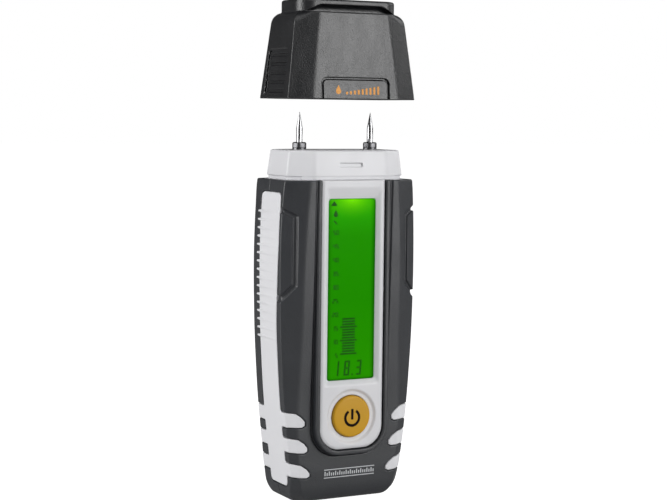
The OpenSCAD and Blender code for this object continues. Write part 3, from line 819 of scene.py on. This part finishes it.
def build_shells():
    """The moulded pieces of the body and the cap."""
    reach = BELLY + 1
    keep = 0.32
    # Name, form, box, grid step, material slot, body and CAD node
    jobs = [
        ("front_jacket_skin", front_jacket_form, (-reach, -17.4, -0.6), (reach, 0.5, BODY_H + 0.8), 0.32,
         "armour", "meter", "front_jacket"),
        ("rear_jacket_skin", rear_jacket_form, (-reach, -0.5, -0.6), (reach, 17.4, BODY_H + 0.8), 0.36,
         "armour", "meter", "rear_jacket"),
        ("left_grip_skin", grip_form, (-reach - 0.5, -17, 5), (-12, 17.2, 115), 0.3,
         "grip", "meter", "left_grip"),
        ("right_grip_skin", grip_form, (12, -17, 5), (reach + 0.5, 17.2, 115), 0.3,
         "grip", "meter", "right_grip"),
        ("front_housing_skin", front_housing_form, (-26.5, -16.6, 1), (26.5, 0.5, BODY_H + 0.8), 0.34,
         "housing", "meter", "front_housing"),
        ("electrode_head_skin", head_form, (-25, -14.6, BODY_H - 1), (25, 14.6, HEAD_Z + 1), 0.26,
         "housing", "meter", "electrode_head"),
        ("battery_cover_skin", cover_form, (-13, 10, 7.5), (13, 17.2, 65.4), 0.25,
         "armour", "battery_lid", "battery_cover"),
        ("cap_skin", cap_form, (-27, -17.6, CAP_Z - 0.8), (27, 17.6, CROWN_TOP + 0.8), 0.3,
         "cap", "cap", "cap_shell"),
    ]
    for name, form, low, high, step, slot, body, node in jobs:
        obj = moulded(name, form, low, high, step, MATERIALS[slot], keep)
        place_piece(obj, body, slot, node)


def build_needles():
    """Needles with a long slender point, and the hex collars that clamp them."""
    r, shank, root = 1.15, 1.45, 1.25
    thread_pitch, turns = 0.5, 17
    point, steps = 5.6, 8
    for side, word in ((-1, "left"), (1, "right")):
        low, high = box_mm(word + "_pin")
        foot, top = low[2], high[2]
        profile = [(0, foot), (1.3, foot), (shank, foot + 0.3)]
        for i in range(turns):
            z = foot + 0.6 + i * thread_pitch
            profile += [(shank, z), (root, z + thread_pitch / 2)]
        profile += [(shank, HEAD_Z + 0.3), (r + 0.25, HEAD_Z + 2.5), (r, HEAD_Z + 2.9),
                    (r, top - point - 0.6), (r - 0.04, top - point)]
        for i in range(1, steps + 1):
            t = i / steps
            profile.append(((r - 0.06) * (1 - t) ** 0.92 * 0.97 + 0.05, top - point + (point - 0.1) * t))
        profile.append((0, top))
        pin = lathe(word + "_needle", profile, (side * PIN_X, 0, 0), "z", MATERIALS["needle_steel"])
        place_piece(pin, "meter", "needle_steel", word + "_pin")
        z0, z1 = (corner[2] for corner in box_mm(word + "_pin_nut"))

        def nut_form(x, y, z, side=side, z0=z0, z1=z1):
            """A hex collar with rounded corners, bored for the needle, with a fine groove round its waist."""
            half, corner, bore = 2.6, 2.8, 1.5
            px = x - side * PIN_X
            flat = None
            for k in range(3):
                a = math.radians(60 * k + 30)
                d = np.abs(px * math.cos(a) + y * math.sin(a)) - half
                flat = d if flat is None else smax(flat, d, 0.15)
            radius = np.hypot(px, y)
            nut = smax(smax(flat, radius - corner, 0.5), z0 - z, 0.1)
            nut = smax(smax(nut, z - z1, 0.7), bore - radius, 0.1)
            waist = np.hypot(radius - 3.0, z - z0 - 0.85) - 0.45
            return smax(nut, -waist, 0.1)

        cx = side * PIN_X
        nut = moulded(word + "_collar", nut_form, (cx - 3.4, -3.4, z0 - 0.3), (cx + 3.4, 3.4, z1 + 0.3), 0.09,
                      MATERIALS["collar_steel"], 0.4)
        place_piece(nut, "meter", "needle_steel", word + "_pin_nut")


def build_button():
    """The round power button, gently domed, with its dark sign let into it."""
    face = -box_mm("button_cap")[0][1]
    back = -box_mm("button_cap")[1][1]
    stem, collar, edge, dome = 2.2, 9, 0.75, 0.2
    flat = BUTTON_R - edge
    profile = [(0, back), (stem - 0.1, back), (stem, back + 0.1), (stem, 12.6), (collar - 0.2, 12.6),
               (collar, 12.8), (collar, 13.3), (BUTTON_R, 13.45), (BUTTON_R, face - 1.0)]
    for i in range(1, 7):
        a = math.pi / 2 * i / 6
        profile.append((flat + edge * math.cos(a), face - edge - dome + edge * math.sin(a)))
    for i in range(1, 11):
        r = flat * (1 - i / 10)
        profile.append((r, face - dome * (r / flat) ** 2))
    cap = lathe("power_button_cap", profile, (0, 0, BUTTON_Z), "-y", MATERIALS["button"], 96)
    place_piece(cap, "power_button", "button", "button_cap")
    centre = BUTTON_Z - 0.4
    ring_r, half_line, gap = 2.85, 0.5, math.radians(32)
    proud, deep = 0.03, 0.5

    def sign_form(x, y, z):
        """The power sign: a ring, open at its top, with an upright bar in the opening."""
        ring = np.abs(np.hypot(x, z - centre) - ring_r) - half_line
        opening = math.tan(gap) * (z - centre) - np.abs(x)
        ring = smax(ring, opening * math.cos(gap), 0.15)
        bar = rounded_box(x, z, half_line, centre - 0.7, centre + 3.3, 0.2)
        return smax(smax(np.minimum(ring, bar), -y - face - proud, 0.06), y + face - deep, 0.05)

    sign = moulded("power_sign", sign_form, (-3.6, -face - 0.3, centre - 3.6), (3.6, -face + 0.8, centre + 3.8),
                   0.08, MATERIALS["symbol"], 0.5)
    place_piece(sign, "power_button", "symbol", "button_symbol")


# ---------------------------------------------------------------- printed marks and display figures

def plates(name, outlines, depth_at, thick, material):
    """Thin raised plates with outlines as seen from the front, each point depth_at(z) before the middle."""
    vertices, faces = [], []
    for outline in outlines:
        start, n = len(vertices), len(outline)
        vertices += [(x, -depth_at(z) - thick, z) for x, z in outline]
        vertices += [(x, -depth_at(z) + 0.05, z) for x, z in outline]
        faces.append([start + i for i in range(n)])
        faces.append([start + n + i for i in reversed(range(n))])
        for i in range(n):
            j = (i + 1) % n
            faces.append([start + j, start + i, start + n + i, start + n + j])
    return link(name, raw_mesh(name, vertices, faces), material)


def bar_outline(x0, x1, z0, z1, lean=0.0):
    """A rectangle, anticlockwise as seen from the front, leaning to the right with height."""
    return [(x0 + lean * z0, z0), (x1 + lean * z0, z0), (x1 + lean * z1, z1), (x0 + lean * z1, z1)]


def drop_outline(x, z, r, n=14):
    """A drop with its point up."""
    points = []
    for i in range(n):
        a = math.radians(-220 + 260 * i / (n - 1))
        points.append((x + r * math.cos(a), z + r * math.sin(a)))
    return points + [(x, z + 2.1 * r)]


SEGMENTS = {"0": "abcdef", "1": "bc", "2": "abged", "3": "abgcd", "4": "fgbc", "5": "afgcd", "8": "abcdefg"}


def digit(character, x, z, w, h, t, lean=0.0):
    """Outlines of one figure's segments, t wide, in a box of w by h with its lower left corner at x, z."""
    half = h / 2
    g = t * 0.12
    spans = {
        "a": (t + g, w - t - g, h - t, h),
        "b": (w - t, w, half + g, h),
        "c": (w - t, w, 0, half - g),
        "d": (t + g, w - t - g, 0, t),
        "e": (0, t, 0, half - g),
        "f": (0, t, half + g, h),
        "g": (t + g, w - t - g, half - t / 2, half + t / 2),
    }
    found = []
    for segment in SEGMENTS[character]:
        u0, u1, v0, v1 = spans[segment]
        found.append([(x + u + lean * v, z + v) for u, v in ((u0, v0), (u1, v0), (u1, v1), (u0, v1))])
    return found


def build_display_figures():
    """What the display shows: a scale with its numbers, a bar column, three small signs and a reading."""
    found = []
    scale_left, scale_top, scale_pitch, advance = -5.75, 97.97, 4.99, 1.35
    for k in range(10):
        value = str(50 - 5 * k)
        x = scale_left - advance * (len(value) - 1)
        for character in value:
            found += digit(character, x, scale_top - scale_pitch * k, 1.15, 1.6, 0.3)
            x += advance
    bar_foot, bar_pitch, bar_half = 54.3, 0.99, 0.3
    for k in range(14):
        z = bar_foot + bar_pitch * k
        x0, x1 = (-3.65, 3.15) if k % 5 == 0 else (-2.85, 2.35)
        found.append(bar_outline(x0, x1, z - bar_half, z + bar_half))
    found.append([(-7.8, 108.4), (-5.6, 108.4), (-5.6, 108.9), (-6.7, 110.2), (-7.8, 108.9)])
    found.append(drop_outline(-6.0, 105.2, 0.85))
    found.append([(-7.0, 103.0), (-6.5, 103.2), (-5.2, 101.9), (-5.7, 101.7)])
    reading_z, reading_h, stroke = 46.25, 5.5, 0.62
    for character, left, width in (("1", -6.5, 2.2), ("8", -2.15, 2.25), ("3", 2.35, 2.6)):
        found += digit(character, left, reading_z, width, reading_h, stroke, 0.08)
    found.append(bar_outline(1.15, 1.75, reading_z, reading_z + 0.6))
    obj = plates("display_figures", found, lambda z: -low_lcd[1], 0.04, MATERIALS["segment"])
    place_piece(obj, "meter", "display")


def build_marks():
    """Plain marks where a maker's print would go: a drop with rising bars, and a lined strip of ticks."""
    ink = 0.05
    base = CAP_Z + 1.7
    cap_marks = [drop_outline(-7.0, base + 1.1, 1.05)]
    for k in range(9):
        x = -4.0 + 1.6 * k
        cap_marks.append(bar_outline(x, x + 0.8, base, base + 0.9 + 0.26 * k))
    on_panel = lambda z: float(CAP[1](z)) - PANEL_DEEP
    obj = plates("cap_mark", cap_marks, on_panel, ink, MATERIALS["print_orange"])
    place_piece(obj, "cap", "button")

    line_half, tick_half, tick_foot = 0.15, 0.2, 9.75
    strip = [bar_outline(-9.9, 10.9, z - line_half, z + line_half) for z in (9.0, 12.0)]
    for k in range(24):
        x = -9.5 + 0.87 * k
        tick_top = 11.35 if k % 5 in (0, 2) else 10.85
        strip.append(bar_outline(x - tick_half, x + tick_half, tick_foot, tick_top))
    obj = plates("foot_strip", strip, lambda z: float(BODY[1](z)), ink, MATERIALS["print_pale"])
    place_piece(obj, "meter", "housing")


# ---------------------------------------------------------------- CAD pieces that stay

def dress_nodes():
    """Gives every CAD node the material of its slot."""
    for row in frame["record"]["subparts"]:
        obj = nodes[row["node"]]
        obj.data.materials.clear()
        obj.data.materials.append(MATERIALS[row["material_slot"]])


# ---------------------------------------------------------------- stage and light

def add_stage():
    """A plain pale floor, as white to the camera as the backdrop behind it."""
    s = Surface("studio_paper")
    s.wire(s.tint(s.noise(400, 2), (0.45, 0.45, 0.45, 1), (0.48, 0.48, 0.48, 1)), s.shader.inputs["Base Color"])
    s.set(Roughness=0.9, Specular_IOR_Level=0.0, Emission_Color=(1, 1, 1, 1))
    path = s.node("ShaderNodeLightPath")
    s.wire(s.spread(path.outputs["Is Camera Ray"], 0.11, 1.0, 0.0, 1.0), s.shader.inputs["Emission Strength"])
    half = 6.0
    mesh = bpy.data.meshes.new("floor")
    mesh.from_pydata([(-half, -half, 0), (half, -half, 0), (half, half, 0), (-half, half, 0)], [], [(0, 1, 2, 3)])
    floor = link("floor", mesh, s.material)


def softbox(name, azimuth, height, distance, size, power):
    """A soft area light on the meter's middle. Azimuth 0 is straight in front of it, and 90 to its right."""
    aim_z = 0.1
    light = bpy.data.lights.new(name, "AREA")
    light.shape = "RECTANGLE"
    light.size, light.size_y = size
    light.energy = power
    obj = bpy.data.objects.new(name, light)
    bpy.context.scene.collection.objects.link(obj)
    a = math.radians(azimuth)
    place = Vector((math.sin(a) * distance, -math.cos(a) * distance, height))
    obj.location = place
    obj.rotation_euler = (Vector((0, 0, aim_z)) - place).to_track_quat("-Z", "Y").to_euler()


def add_light():
    """Soft studio light: a large box front right, one high in front, and one at each side."""
    softbox("key_right", 29, 0.32, 1.1, (0.6, 0.9), 8.4)
    softbox("above_front", -14, 1.12, 0.92, (1.0, 0.8), 3.3)
    softbox("left", -98, 0.32, 1.1, (0.6, 0.9), 10.9)
    softbox("right", 88, 0.55, 1.1, (0.35, 0.6), 2.0)
    world = bpy.data.worlds.new("studio")
    bpy.context.scene.world = world
    world.use_nodes = True
    tree = world.node_tree
    background = next(n for n in tree.nodes if n.type == "BACKGROUND")
    background.inputs["Color"].default_value = (1, 1, 1, 1)
    path = tree.nodes.new("ShaderNodeLightPath")
    level = tree.nodes.new("ShaderNodeMapRange")
    level.inputs["To Min"].default_value = 0.1
    level.inputs["To Max"].default_value = 1.0
    tree.links.new(path.outputs["Is Camera Ray"], level.inputs["Value"])
    tree.links.new(level.outputs["Result"], background.inputs["Strength"])
    bpy.context.scene.view_settings.view_transform = "Standard"


add_camera()
dress_nodes()
build_shells()
build_needles()
build_button()
build_display_figures()
build_marks()
add_stage()
add_light()
